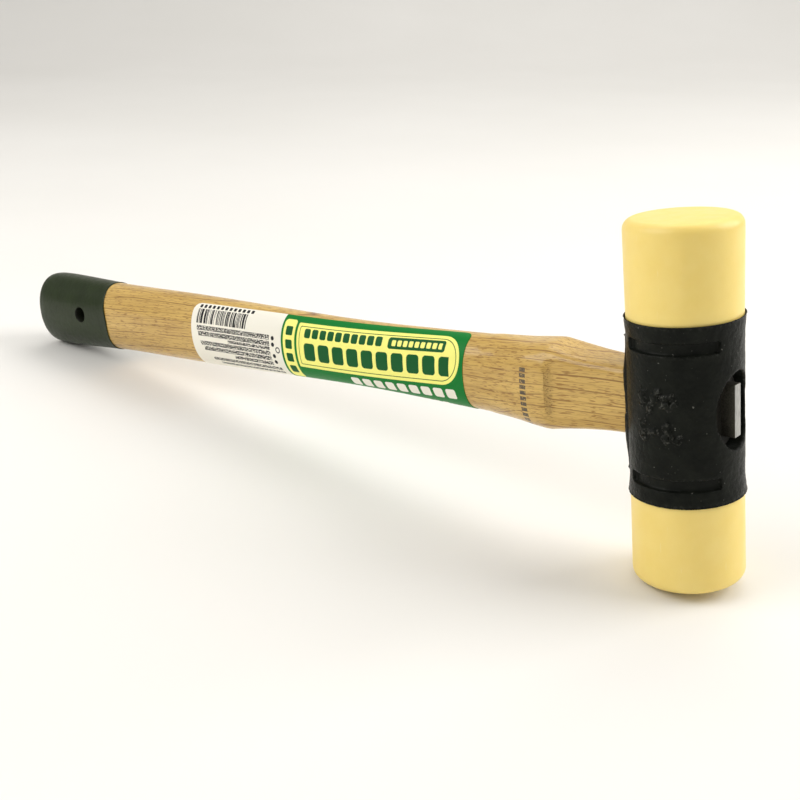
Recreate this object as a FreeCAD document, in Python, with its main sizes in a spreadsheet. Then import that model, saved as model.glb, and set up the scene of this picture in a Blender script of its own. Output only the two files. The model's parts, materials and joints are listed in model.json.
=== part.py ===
# Soft-faced dead blow mallet: cast head with two screw-on plastic faces on a wooden handle.
#
# Everything is drawn in the tool's own frame: Z up the head's axis, X forward out of the
# handle through the head, the origin at the centre of the eye. At the end every sub-part
# gets one common Placement, which lays the mallet down the way it rests by itself: on the
# edge of its lower face and on its butt, with the floor at Z = 0.
import FreeCAD, Part
import math
import os

import Sketcher

Vector = FreeCAD.Vector

# ---------------------------------------------------------------- driving dimensions
# Millimetres, or degrees where the note says so.
DIMENSIONS = [
    ("face_radius", 15.15, "plastic face, at its striking end"),
    ("face_taper", 0.2, "how much slimmer the face is at its root"),
    ("face_round", 2.75, "rounding of the striking edge"),
    ("face_end", 49.5, "striking face, from the eye's centre"),
    ("rim_end", 24.2, "casting's rim, from the eye's centre"),
    ("rim_radius", 15.6, "casting over its rims"),
    ("rim_band", 1.2, "straight part of a rim"),
    ("rim_flare", 5.0, "length over which a rim runs into the waist"),
    ("waist_radius", 14.75, "casting between its rims"),
    ("cup_depth", 1.8, "depth of the cup that a face sits in"),
    ("cup_clearance", 0.2, "gap round the face in its cup"),
    ("nose_radius", 11.0, "thread that carries a face, over its crests"),
    ("nose_end", 37.0, "end of the threaded nose, from the eye's centre"),
    ("thread_clearance", 0.06, "running clearance of the thread"),
    ("cap_headroom", 1.0, "air between the nose and the bottom of the face's bore"),
    ("washer_thickness", 0.8, "lock washer under a face"),
    ("washer_radius", 14.0, "lock washer, outside"),
    ("washer_bore", 11.4, "lock washer, inside"),
    ("seat_gap", 0.02, "gap between stacked flat faces"),
    ("chamber_radius", 8.0, "shot chamber"),
    ("chamber_floor", 13.2, "inner end of a shot chamber, from the eye's centre"),
    ("plug_radius", 8.6, "bore that holds a chamber's plug"),
    ("plug_thickness", 3.0, "chamber plug"),
    ("plug_fit", 0.02, "radial gap of a plug in its bore"),
    ("socket_radius", 2.9, "hexagon socket of a plug, centre to corner"),
    ("socket_depth", 1.8, "hexagon socket of a plug"),
    ("shot_radius", 1.75, "one steel ball"),
    ("shot_gap", 0.08, "gap between neighbouring balls"),
    ("shot_layers", 5, "layers of balls in a chamber (a count)"),
    ("eye_half_height", 10.6, "eye, along the head"),
    ("eye_half_width", 7.5, "eye, across the head"),
    ("boss_face", 14.9, "flat of the boss round the eye, on the handle's side"),
    ("boss_depth", 8.0, "how far the boss reaches into the casting"),
    ("boss_half_width", 8.0, "boss, across the head"),
    ("boss_half_height", 18.5, "boss, along the head"),
    ("boss_round", 2.4, "rounding of the boss's upright edges"),
    ("slot_middle", 18.2, "middle of a cast slot, from the eye's centre"),
    ("slot_height", 3.2, "cast slot"),
    ("slot_depth", 0.9, "cast slot, below the waist"),
    ("slot_front_sweep", 64.0, "how far a cast slot runs from a flank towards the front (degrees)"),
    ("slot_rear_sweep", 39.0, "how far a cast slot runs from a flank towards the handle (degrees)"),
    ("handle_end", 301.0, "butt of the handle, behind the eye's centre"),
    ("butt_round", 3.5, "rounding of the butt"),
    ("heel_half_height", 14.5, "handle section at the butt"),
    ("palm_place", 281.0, "widest section of the grip"),
    ("palm_half_height", 14.6, "widest section of the grip"),
    ("rear_place", 258.0, "section where the dipped coat ends"),
    ("rear_half_height", 13.65, "section where the dipped coat ends"),
    ("grip_place", 210.0, "middle of the grip"),
    ("grip_half_height", 13.0, "middle of the grip"),
    ("middle_place", 150.0, "middle of the handle"),
    ("middle_half_height", 11.55, "middle of the handle"),
    ("waist_place", 110.0, "slimmest section of the handle"),
    ("waist_half_height", 10.95, "slimmest section of the handle"),
    ("fore_place", 75.0, "where the handle begins to swell"),
    ("fore_half_height", 11.55, "where the handle begins to swell"),
    ("swell_place", 55.0, "swelling behind the shoulder"),
    ("swell_half_height", 12.3, "swelling behind the shoulder"),
    ("shoulder_place", 42.0, "shoulder"),
    ("shoulder_half_height", 13.2, "shoulder"),
    ("throat_place", 29.0, "neck in front of the shoulder"),
    ("throat_half_height", 12.05, "neck in front of the shoulder"),
    ("collar_half_height", 11.2, "neck where it meets the boss"),
    ("oval_ratio", 0.7, "width over height of every handle section (a ratio)"),
    ("flat_start", 37.0, "where the flats on the neck begin"),
    ("flat_runout", 2.0, "length of the step down to a flat"),
    ("flat_rear_width", 8.3, "half-width across the flats at the shoulder"),
    ("flat_front_width", 7.4, "half-width across the flats at the head"),
    ("tenon_end", 11.0, "end of the tenon, in front of the eye's centre"),
    ("tenon_overlap", 5.0, "how far the tenon's own solid reaches back into the neck"),
    ("tenon_fit", 0.05, "gap between tenon and eye"),
    ("wedge_end", 14.9, "driven end of the wedge"),
    ("wedge_length", 22.0, "wedge, from its tip to its driven end"),
    ("wedge_half_height", 7.1, "wedge, along the head"),
    ("wedge_thickness", 3.2, "wedge at its driven end"),
    ("wedge_tip", 0.8, "wedge at its tip"),
    ("wedge_offset", -0.4, "middle of the wedge, across the head"),
    ("wedge_fit", 0.02, "gap between wedge and kerf"),
    ("coat_edge", 251.5, "front edge of the dipped coat"),
    ("coat_thickness", 0.3, "dipped coat"),
    ("hole_place", 269.0, "hanging hole"),
    ("hole_rise", 1.5, "hanging hole, above the handle's axis"),
    ("hole_radius", 3.0, "hanging hole"),
    ("label_rear", 197.0, "rear edge of the label"),
    ("label_front", 69.0, "front edge of the label"),
    ("label_thickness", 0.15, "label"),
    ("label_glue", 0.02, "gap under the label"),
    ("label_top_rear", 4.5, "label's upper edge at its rear corner, towards the near side"),
    ("label_top_front", 0.7, "label's upper edge at its front corner, towards the near side"),
    ("label_lower", 6.0, "label's lower edge on the far side, below the handle's axis"),
    ("cut_margin", 30.0, "how far cutting tools reach past what they cut"),
]

# Sections that the handle is lofted through, butt first: where, and how tall.
HANDLE_SECTIONS = [
    ("handle_end", "heel_half_height"),
    ("palm_place", "palm_half_height"),
    ("rear_place", "rear_half_height"),
    ("grip_place", "grip_half_height"),
    ("middle_place", "middle_half_height"),
    ("waist_place", "waist_half_height"),
    ("fore_place", "fore_half_height"),
    ("swell_place", "swell_half_height"),
    ("shoulder_place", "shoulder_half_height"),
    ("throat_place", "throat_half_height"),
    ("boss_face", "collar_half_height"),
]

doc = FreeCAD.newDocument("mallet")

sheet = doc.addObject("Spreadsheet::Sheet", "dims")
for row, (alias, value, note) in enumerate(DIMENSIONS, start=1):
    sheet.set("A%d" % row, note)
    sheet.set("B%d" % row, str(value))
    sheet.setAlias("B%d" % row, alias)
doc.recompute()


# ---------------------------------------------------------------- helpers
def cell(alias):
    """The expression that reads one cell of the sheet."""
    return "dims." + alias


def size(expression):
    """The value of an expression over the sheet's cells."""
    return float(sheet.evalExpression(expression))


def bind(thing, **expressions):
    """Tie properties of an object to expressions over the sheet."""
    for name, expression in expressions.items():
        thing.setExpression(name, expression)


def bind_place(thing, **expressions):
    """Tie the x, y or z of an object's Placement to expressions over the sheet."""
    for axis, expression in expressions.items():
        thing.setExpression(".Placement.Base." + axis, expression)


def origin_plane(body, role):
    """One of the origin planes of a body."""
    for feature in body.Origin.OriginFeatures:
        if feature.Role == role:
            return feature
    raise ValueError(role)


def new_sketch(body, name, role, offset=None):
    """A sketch on an origin plane of its body, moved along its normal by an expression."""
    sketch = body.newObject("Sketcher::SketchObject", name)
    sketch.AttachmentSupport = [(origin_plane(body, role), "")]
    sketch.MapMode = "FlatFace"
    if offset:
        sketch.setExpression(".AttachmentOffset.Base.z", offset)
    return sketch


def pin_corner(sketch, corner, kind, axis, expression):
    """Fix one coordinate of a polygon's corner, on an axis or at a bound distance from it."""
    if expression == "0":
        sketch.addConstraint(Sketcher.Constraint("PointOnObject", corner, 1, axis))
        return
    index = sketch.addConstraint(
        Sketcher.Constraint(kind, -1, 1, corner, 1, size(expression))
    )
    sketch.setExpression("Constraints[%d]" % index, expression)


def draw_polygon(sketch, corners):
    """A closed, fully constrained polygon. A corner is a pair of expressions."""
    places = [Vector(size(across), size(along), 0) for across, along in corners]
    count = len(places)
    for index in range(count):
        sketch.addGeometry(Part.LineSegment(places[index], places[(index + 1) % count]), False)
    for index in range(count):
        sketch.addConstraint(
            Sketcher.Constraint("Coincident", index, 2, (index + 1) % count, 1)
        )
    for index, (across, along) in enumerate(corners):
        pin_corner(sketch, index, "DistanceX", -2, across)
        pin_corner(sketch, index, "DistanceY", -1, along)


def turned(body, kind, name, sketch):
    """A full Revolution or Groove of a sketch about the head's axis."""
    feature = body.newObject("PartDesign::" + kind, name)
    feature.Profile = sketch
    feature.ReferenceAxis = (sketch, ["V_Axis"])
    feature.Angle = 360
    return feature


def edges_where(shape, wanted):
    """Names of the edges of a shape that a test accepts."""
    return [
        "Edge%d" % number
        for number, edge in enumerate(shape.Edges, start=1)
        if wanted(edge)
    ]


def oval(name, place, half_height, half_width):
    """An ellipse square to the handle, its long axis up the head."""
    section = doc.addObject("Part::Ellipse", name)
    section.Placement = FreeCAD.Placement(
        Vector(),
        FreeCAD.Rotation(Vector(0, 0, 1), Vector(0, -1, 0), Vector(1, 0, 0), "XYZ"),
    )
    bind(section, MajorRadius=half_height, MinorRadius=half_width)
    bind_place(section, x=place)
    return section


def oval_bar(name, place, length, half_height, half_width):
    """A straight bar of oval section that runs forward from a place."""
    bar = doc.addObject("Part::Extrusion", name)
    bar.Base = oval(name + "_section", place, half_height, half_width)
    bar.DirMode = "Custom"
    bar.Dir = Vector(1, 0, 0)
    bar.Solid = True
    bind(bar, LengthFwd=length)
    return bar


def handle_loft(name, growth):
    """The handle's turned form from butt to boss, grown all round by an expression."""
    sections = []
    for place, half_height in HANDLE_SECTIONS:
        grown = "(%s + %s)" % (cell(half_height), growth)
        width = "(%s * %s + %s)" % (cell(half_height), cell("oval_ratio"), growth)
        ahead = "-%s" % cell(place)
        if place == "handle_end":
            ahead = "-%s - %s" % (cell(place), growth)
        sections.append(oval("%s_%s" % (name, place), ahead, grown, width))
    loft = doc.addObject("Part::Loft", name)
    loft.Sections = sections
    loft.Solid = True
    loft.Ruled = False
    return loft


def rounded_butt(name, loft, growth):
    """The loft with its rear edge rounded. Edges takes numbers, so the radius is read here."""
    doc.recompute()
    radius = size("%s + %s" % (cell("butt_round"), growth))
    rear = loft.Shape.BoundBox.XMin
    flat = 0.01
    rear_edges = [
        (number, radius, radius)
        for number, edge in enumerate(loft.Shape.Edges, start=1)
        if edge.BoundBox.XMax < rear + flat
    ]
    rounded = doc.addObject("Part::Fillet", name)
    rounded.Base = loft
    rounded.Edges = rear_edges
    return rounded


def cut(name, base, tool):
    """What is left of a base when a tool is taken away."""
    result = doc.addObject("Part::Cut", name)
    result.Base = base
    result.Tool = tool
    return result


def round_bar(name, radius, height, base):
    """A cylinder about the head's axis, standing on a height."""
    bar = doc.addObject("Part::Cylinder", name)
    bind(bar, Radius=radius, Height=height)
    bind_place(bar, z=base)
    return bar


# ---------------------------------------------------------------- head casting
def casting_outline():
    """Half outline of the casting, lower nose first, without its bores."""
    nose = cell("nose_radius")
    cup = "dims.face_radius - dims.face_taper + dims.cup_clearance"
    cup_floor = "(dims.rim_end - dims.cup_depth)"
    band_end = "(dims.rim_end - dims.rim_band)"
    waist_end = "(dims.rim_end - dims.rim_band - dims.rim_flare)"
    upper = [
        (cell("waist_radius"), waist_end),
        (cell("rim_radius"), band_end),
        (cell("rim_radius"), cell("rim_end")),
        (cup, cell("rim_end")),
        (cup, cup_floor),
        (nose, cup_floor),
        (nose, cell("nose_end")),
        ("0", cell("nose_end")),
    ]
    lower = [(across, "-" + along) for across, along in reversed(upper)]
    return lower + upper


def chamber_outline(side):
    """Half outline of one shot chamber and the wider bore that its plug closes."""
    seat = "(dims.nose_end - dims.plug_thickness)"
    mouth = "(dims.nose_end + dims.cut_margin)"
    corners = [
        ("0", cell("chamber_floor")),
        (cell("chamber_radius"), cell("chamber_floor")),
        (cell("chamber_radius"), seat),
        (cell("plug_radius"), seat),
        (cell("plug_radius"), mouth),
        ("0", mouth),
    ]
    return [(across, side + along) for across, along in corners]


def add_slot(body, name, flank, side):
    """A shallow slot cast round one flank, above or below the eye."""
    sketch = new_sketch(body, name + "_outline", "YZ_Plane")
    inner = flank + "(dims.waist_radius - dims.slot_depth)"
    outer = flank + "(dims.waist_radius + dims.cut_margin)"
    low = "%sdims.slot_middle - dims.slot_height / 2" % side
    high = "%sdims.slot_middle + dims.slot_height / 2" % side
    draw_polygon(sketch, [(inner, low), (outer, low), (outer, high), (inner, high)])
    slot = turned(body, "Groove", name, sketch)
    slot.Type = "TwoAngles"
    if flank:
        bind(slot, Angle=cell("slot_front_sweep"), Angle2=cell("slot_rear_sweep"))
    else:
        bind(slot, Angle=cell("slot_rear_sweep"), Angle2=cell("slot_front_sweep"))


def add_boss(body):
    """The thick flat that backs the eye where the handle enters."""
    sketch = new_sketch(body, "boss_outline", "YZ_Plane", "-dims.boss_face")
    wide = cell("boss_half_width")
    tall = cell("boss_half_height")
    draw_polygon(
        sketch,
        [("-" + wide, "-" + tall), (wide, "-" + tall), (wide, tall), ("-" + wide, tall)],
    )
    boss = body.newObject("PartDesign::Pad", "boss")
    boss.Profile = sketch
    bind(boss, Length=cell("boss_depth"))
    doc.recompute()

    def upright(edge):
        """True on the boss's two upright outer edges."""
        box = edge.BoundBox
        near_face = box.XMax < -size(cell("boss_face")) + 0.01
        return near_face and box.YLength < 0.01

    rounding = body.newObject("PartDesign::Fillet", "boss_rounding")
    rounding.Base = (boss, edges_where(boss.Shape, upright))
    bind(rounding, Radius=cell("boss_round"))


def make_head_casting():
    """Cast body: waisted barrel, rims with cups, threaded noses, shot chambers, eye."""
    blank = doc.addObject("PartDesign::Body", "casting_blank")
    outline = new_sketch(blank, "casting_outline", "XZ_Plane")
    draw_polygon(outline, casting_outline())
    turned(blank, "Revolution", "barrel", outline)
    doc.recompute()
    add_boss(blank)
    for name, side in (("upper", ""), ("lower", "-")):
        chamber = new_sketch(blank, name + "_chamber_outline", "XZ_Plane")
        draw_polygon(chamber, chamber_outline(side))
        turned(blank, "Groove", name + "_chamber", chamber)
        for flank_name, flank in (("left", ""), ("right", "-")):
            add_slot(blank, "%s_%s_slot" % (name, flank_name), flank, side)
    eye = oval_bar(
        "eye",
        "-dims.boss_face - dims.cut_margin",
        "2 * (dims.boss_face + dims.cut_margin)",
        cell("eye_half_height"),
        cell("eye_half_width"),
    )
    return cut("head_casting", blank, eye)


# ---------------------------------------------------------------- faces and what is under them
def face_outline(side):
    """Half outline of a face: a cap whose bore screws over the nose."""
    root = "(dims.rim_end - dims.cup_depth + dims.washer_thickness + 2 * dims.seat_gap)"
    bore = "dims.nose_radius + dims.thread_clearance"
    bore_end = "(dims.nose_end + dims.cap_headroom)"
    corners = [
        (bore, root),
        ("dims.face_radius - dims.face_taper", root),
        (cell("face_radius"), cell("face_end")),
        ("0", cell("face_end")),
        ("0", bore_end),
        (bore, bore_end),
    ]
    return [(across, side + along) for across, along in corners]


def make_face(name, side):
    """One replaceable plastic face."""
    body = doc.addObject("PartDesign::Body", name)
    outline = new_sketch(body, name + "_outline", "XZ_Plane")
    draw_polygon(outline, face_outline(side))
    cap = turned(body, "Revolution", name + "_cap", outline)
    doc.recompute()

    def striking_edge(edge):
        """True on the edge between the striking face and the wall."""
        box = edge.BoundBox
        at_end = max(abs(box.ZMin), abs(box.ZMax)) > size(cell("face_end")) - 0.01
        full_width = box.YLength > size(cell("face_radius"))
        return at_end and box.ZLength < 0.01 and full_width

    rounding = body.newObject("PartDesign::Fillet", name + "_rounding")
    rounding.Base = (cap, edges_where(cap.Shape, striking_edge))
    bind(rounding, Radius=cell("face_round"))
    return body


def make_washer(name, side):
    """The lock washer between a face and the floor of its cup."""
    floor = "(dims.rim_end - dims.cup_depth + dims.seat_gap)"
    base = floor
    if side:
        base = "-%s - dims.washer_thickness" % floor
    disc = round_bar(name + "_disc", cell("washer_radius"), cell("washer_thickness"), base)
    bore = round_bar(name + "_bore", cell("washer_bore"), cell("washer_thickness"), base)
    return cut(name, disc, bore)


def make_plug(name, side):
    """The screwed plug that closes a shot chamber, with its hexagon socket outside."""
    base = "dims.nose_end - dims.plug_thickness"
    socket_base = "dims.nose_end - dims.socket_depth"
    if side:
        base = "-dims.nose_end"
        socket_base = "-dims.nose_end - dims.cut_margin"
    radius = "dims.plug_radius - dims.plug_fit"
    disc = round_bar(name + "_disc", radius, cell("plug_thickness"), base)
    socket = doc.addObject("Part::Prism", name + "_socket")
    socket.Polygon = 6
    bind(
        socket,
        Circumradius=cell("socket_radius"),
        Height="dims.socket_depth + dims.cut_margin",
    )
    bind_place(socket, z=socket_base)
    return cut(name, disc, socket)


def ball_places(odd):
    """Centres of the balls in one hexagonally packed layer, about the head's axis."""
    pitch = 2 * size(cell("shot_radius")) + size(cell("shot_gap"))
    reach = size("dims.chamber_radius - dims.shot_radius - dims.shot_gap / 2")
    row_pitch = pitch * math.sqrt(3) / 2
    shift = Vector(pitch / 2, row_pitch / 3, 0) if odd else Vector()
    span = int(reach / row_pitch) + 2
    places = []
    for row in range(-span, span + 1):
        for column in range(-span, span + 1):
            place = Vector(pitch * (column + row / 2.0), row_pitch * row, 0) + shift
            if place.Length <= reach:
                places.append(place)
    return places


def make_shot(name, side):
    """The loose steel balls of one chamber, settled at its lower end."""
    radius = size(cell("shot_radius"))
    gap = size(cell("shot_gap"))
    layer_pitch = (2 * radius + gap) * math.sqrt(2.0 / 3.0)
    floor = size(cell("chamber_floor"))
    if side:
        floor = -size("dims.nose_end - dims.plug_thickness")
    balls = []
    for layer in range(int(size(cell("shot_layers")))):
        height = floor + gap + radius + layer * layer_pitch
        for place in ball_places(layer % 2 == 1):
            balls.append(Part.makeSphere(radius, place + Vector(0, 0, height)))
    shot = doc.addObject("Part::Feature", name)
    shot.Shape = Part.makeCompound(balls)
    return shot


# ---------------------------------------------------------------- handle
def make_wedge_body(name, growth):
    """A slim wedge across the tenon, grown all round by an expression."""
    body = doc.addObject("PartDesign::Body", name)
    sketch = new_sketch(body, name + "_outline", "XY_Plane")
    tip = "dims.wedge_end - dims.wedge_length"
    end = cell("wedge_end")
    half_tip = "(dims.wedge_tip / 2 + %s)" % growth
    half_end = "(dims.wedge_thickness / 2 + %s)" % growth
    draw_polygon(
        sketch,
        [
            (tip, "dims.wedge_offset - " + half_tip),
            (end, "dims.wedge_offset - " + half_end),
            (end, "dims.wedge_offset + " + half_end),
            (tip, "dims.wedge_offset + " + half_tip),
        ],
    )
    pad = body.newObject("PartDesign::Pad", name + "_pad")
    pad.Profile = sketch
    pad.Midplane = True
    bind(pad, Length="2 * (dims.wedge_half_height + %s)" % growth)
    return body


def make_flat_cutter(name, flank):
    """What is planed off one side of the neck: a short step, then a long flat."""
    body = doc.addObject("PartDesign::Body", name)
    sketch = new_sketch(body, name + "_outline", "XY_Plane")
    outside = flank + "(dims.flat_rear_width + dims.cut_margin)"
    step = "(dims.flat_rear_width + dims.flat_runout)"
    corners = [
        ("-dims.flat_start - dims.flat_runout", flank + step),
        ("-dims.flat_start", flank + cell("flat_rear_width")),
        ("-dims.boss_face", flank + cell("flat_front_width")),
        ("dims.boss_face", flank + cell("flat_front_width")),
        ("dims.boss_face", outside),
        ("-dims.flat_start - dims.flat_runout", outside),
    ]
    draw_polygon(sketch, corners)
    pad = body.newObject("PartDesign::Pad", name + "_pad")
    pad.Profile = sketch
    pad.Midplane = True
    bind(pad, Length="2 * (dims.shoulder_half_height + dims.cut_margin)")
    return body


def make_hole_cutter(name):
    """A bar through the butt, from one side to the other, that leaves the hanging hole."""
    bar = doc.addObject("Part::Cylinder", name)
    bar.Placement = FreeCAD.Placement(Vector(), FreeCAD.Rotation(Vector(1, 0, 0), -90))
    bind(bar, Radius=cell("hole_radius"), Height="2 * dims.cut_margin")
    bind_place(bar, x="-dims.hole_place", y="-dims.cut_margin", z=cell("hole_rise"))
    return bar


def make_handle():
    """Wooden handle: oval grip, shoulder, flat-sided neck and a tenon split by the wedge."""
    grip = rounded_butt("grip_rounded", handle_loft("grip", "0"), "0")
    left_flat = make_flat_cutter("left_flat", "")
    right_flat = make_flat_cutter("right_flat", "-")
    planed = cut("grip_planed_left", grip, left_flat)
    planed = cut("grip_planed", planed, right_flat)
    tenon = oval_bar(
        "tenon",
        "-dims.boss_face - dims.tenon_overlap",
        "dims.boss_face + dims.tenon_overlap + dims.tenon_end",
        "dims.eye_half_height - dims.tenon_fit",
        "dims.eye_half_width - dims.tenon_fit",
    )
    tenon_flats = cut("tenon_planed_left", tenon, left_flat)
    tenon_flats = cut("tenon_planed", tenon_flats, right_flat)
    whole = doc.addObject("Part::Fuse", "handle_whole")
    whole.Base = planed
    whole.Tool = tenon_flats
    split = cut("handle_split", whole, make_wedge_body("kerf", cell("wedge_fit")))
    return cut("handle", split, make_hole_cutter("handle_hole"))


def slab(name, rear, front):
    """A thick box round the handle, from one place behind the head to another."""
    box = doc.addObject("Part::Box", name)
    across = "2 * dims.cut_margin"
    bind(box, Length="%s - %s" % (rear, front), Width=across, Height=across)
    bind_place(box, x="-" + rear, y="-dims.cut_margin", z="-dims.cut_margin")
    return box


def make_butt_coat():
    """The thin dipped coat over the butt, pierced by the hanging hole."""
    outer = rounded_butt("coat_rounded", handle_loft("coat", cell("coat_thickness")),
                         cell("coat_thickness"))
    inner = rounded_butt("coat_core_rounded", handle_loft("coat_core", "0"), "0")
    skin = cut("coat_skin", outer, inner)
    rear_part = doc.addObject("Part::Common", "coat_rear")
    rear_part.Base = skin
    rear_part.Tool = slab(
        "coat_reach", "(dims.handle_end + dims.cut_margin)", cell("coat_edge")
    )
    return cut("butt_coat", rear_part, make_hole_cutter("coat_hole"))


def make_bare_side():
    """The space over the wood that the label leaves bare: the top and most of the far side."""
    body = doc.addObject("PartDesign::Body", "bare_side")
    sketch = new_sketch(body, "bare_side_outline", "XY_Plane", "-dims.label_lower")
    rear = "-dims.label_rear"
    front = "-dims.label_front"
    draw_polygon(
        sketch,
        [
            (rear, "-dims.label_top_rear"),
            (front, "-dims.label_top_front"),
            (front, cell("cut_margin")),
            (rear, cell("cut_margin")),
        ],
    )
    pad = body.newObject("PartDesign::Pad", "bare_side_pad")
    pad.Profile = sketch
    bind(pad, Length=cell("cut_margin"))
    return body


def make_handle_label():
    """The printed film on the near side of the grip, from its top round under it."""
    outer = handle_loft("label_outside", "(dims.label_glue + dims.label_thickness)")
    inner = handle_loft("label_inside", cell("label_glue"))
    skin = cut("label_skin", outer, inner)
    ring = doc.addObject("Part::Common", "label_ring")
    ring.Base = skin
    ring.Tool = slab("label_reach", cell("label_rear"), cell("label_front"))
    return cut("handle_label", ring, make_bare_side())


# ---------------------------------------------------------------- how the mallet rests
def resting_placement():
    """Lays the tool on the edge of its lower face and on its butt, centred on the origin."""
    edge_radius = size(cell("face_round"))
    edge_x = -size("dims.face_radius - dims.face_round")
    edge_z = -size("dims.face_end - dims.face_round")
    butt_radius = size("dims.butt_round + dims.coat_thickness")
    butt_x = -size("dims.handle_end - dims.butt_round")
    butt_z = -size("dims.heel_half_height - dims.butt_round")
    # The floor is the common tangent under these two circles.
    along = edge_x - butt_x
    below = butt_z - edge_z
    reach = math.hypot(along, below)
    tilt = math.atan2(below, along) + math.asin((edge_radius - butt_radius) / reach)
    lift = edge_radius - edge_x * math.sin(tilt) - edge_z * math.cos(tilt)
    rear = butt_x * math.cos(tilt) + butt_z * math.sin(tilt) - butt_radius
    front = -edge_x * math.cos(tilt) - edge_z * math.sin(tilt) + edge_radius
    turn = FreeCAD.Rotation(Vector(0, 1, 0), -math.degrees(tilt))
    return FreeCAD.Placement(Vector(-(rear + front) / 2, 0, lift), turn)


# ---------------------------------------------------------------- assembly
sub_parts = [make_head_casting(), make_handle(), make_handle_label(), make_butt_coat()]
sub_parts.append(make_wedge_body("steel_wedge", "0"))
for end_name, end_side in (("upper", ""), ("lower", "-")):
    sub_parts.append(make_face(end_name + "_face", end_side))
    sub_parts.append(make_washer(end_name + "_lock_washer", end_side))
    sub_parts.append(make_plug(end_name + "_chamber_plug", end_side))
    sub_parts.append(make_shot(end_name + "_shot", end_side))
doc.recompute()

rest = resting_placement()
for sub_part in sub_parts:
    sub_part.Label = sub_part.Name
    sub_part.Placement = rest
doc.recompute()

for thing in doc.Objects:
    if "Invalid" in thing.State or "Error" in thing.State:
        raise RuntimeError("%s failed: %s" % (thing.Name, thing.State))
for sub_part in sub_parts:
    if sub_part.Shape.isNull() or not sub_part.Shape.isValid():
        raise RuntimeError("%s has no valid shape" % sub_part.Name)

os.makedirs("parts", exist_ok=True)
for sub_part in sub_parts:
    sub_part.Shape.exportStep("parts/%s.step" % sub_part.Label)
    box = sub_part.Shape.BoundBox
    print("%-20s solids %3d  volume %9.1f  x %7.2f %7.2f  y %6.2f %6.2f  z %6.2f %6.2f" % (
        sub_part.Label, len(sub_part.Shape.Solids), sub_part.Shape.Volume,
        box.XMin, box.XMax, box.YMin, box.YMax, box.ZMin, box.ZMax))
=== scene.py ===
import json
import math

import bmesh
import bpy
import numpy as np
from mathutils import Matrix, Vector, noise
from mathutils.bvhtree import BVHTree


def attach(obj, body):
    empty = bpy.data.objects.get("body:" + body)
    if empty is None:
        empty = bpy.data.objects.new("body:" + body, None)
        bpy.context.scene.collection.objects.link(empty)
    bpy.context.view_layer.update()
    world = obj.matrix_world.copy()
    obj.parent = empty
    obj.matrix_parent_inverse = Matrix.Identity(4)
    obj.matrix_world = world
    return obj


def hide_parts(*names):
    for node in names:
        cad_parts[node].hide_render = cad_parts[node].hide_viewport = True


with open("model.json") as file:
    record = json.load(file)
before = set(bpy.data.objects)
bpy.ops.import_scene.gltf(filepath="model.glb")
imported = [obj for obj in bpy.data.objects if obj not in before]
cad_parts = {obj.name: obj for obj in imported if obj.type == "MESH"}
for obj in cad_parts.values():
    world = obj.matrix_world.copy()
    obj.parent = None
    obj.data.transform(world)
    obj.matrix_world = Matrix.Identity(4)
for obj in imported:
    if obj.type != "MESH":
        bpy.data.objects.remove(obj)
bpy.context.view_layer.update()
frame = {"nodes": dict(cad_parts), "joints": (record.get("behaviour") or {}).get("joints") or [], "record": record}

MM = 0.001
FULL_TURN = 2 * math.pi

# ---------------------------------------------------------------- sizes that the CAD nodes don't give
THREAD_PITCH = 1.5
THREAD_DEPTH = 0.62
THREAD_PLAY = 0.12
THREAD_CLEARANCE = 0.06
THREAD_STEPS = 12
FACE_CROWN = 0.12
FACE_FILLET = 2.75
FOOT_FILLET = 0.3
AROUND = 192
BUTT_ROUND = 3.5
FLAT_START = -37.0
FLAT_RUNOUT = 2.0
FLAT_SOFTNESS = 0.8
# Where the tenon's painted shade begins, towards the eye.
TENON_SHADE_START = -9.0
TENON_HALF_WIDTH = 7.25
TENON_HALF_HEIGHT = 10.4
TENON_CHAMFER = 0.5
KERF_PLAY = 0.06
HOLE_STEPS = 64
MOUTH_FLARE = 0.5
COAT_BEAD = 0.06
COAT_HOLE_LESS = 0.12
SLOT_LIP = 16.4
LABEL_TOP_REAR = 4.5
LABEL_TOP_FRONT = 0.7
LABEL_FAR_HEIGHT = -6.0
LABEL_CORNER = 3.0
LABEL_GLUE = 0.02
LABEL_PAPER = 0.15
COAT_GAP = 0.02
# The neck is squared off for the same girth: wider before its flats are cut, and lower.
NECK_WIDENING = 0.09
NECK_ENTRY = 2.6
# An optimiser fitted these half heights to the outline of the reference. They are nearly as it gave them.
NECK_PLACES = (-62.0, -50.0, -44.0, -39.5, -33.0, -27.0, -21.0, -15.0)
NECK_HALF_HEIGHTS = (12.19, 12.2, 12.65, 13.02, 11.22, 10.47, 9.92, 9.63)
# The handle's section is a superellipse: an oval on the grip, squarer towards the neck.
GRIP_SQUARENESS = 2.15
SWELLING_SQUARENESS = 0.95
NECK_SQUARENESS = 1.9
SWELLING_START = FLAT_START - 25
SWELLING_RUN = 18.0
SQUARING_START = FLAT_START - 2
SQUARING_RUN = 8.0
# The casting's skin: its waist, its raised marks and the unevenness that the sand mould leaves.
WAIST_RADIUS = 15.05
BOSS_HALF_HEIGHT = 18.9
MARK_HEIGHT = 0.7
SAND_SIZE = 1.1
SAND_DEPTH = 0.05
LUMP_SIZE = 4.5
LUMP_DEPTH = 0.10
CAST_VOXEL = 0.36

# ---------------------------------------------------------------- camera, in the mallet's frame
# Solved by least squares from the outlines of the reference.
CAMERA_PLACE = (144.95, -261.25, 98.92)
CAMERA_YAW = 0.7598
CAMERA_PITCH = -0.3045
CAMERA_ROLL = -0.0948
CAMERA_LENS = 52.24
SENSOR_WIDTH = 36.0

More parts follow.
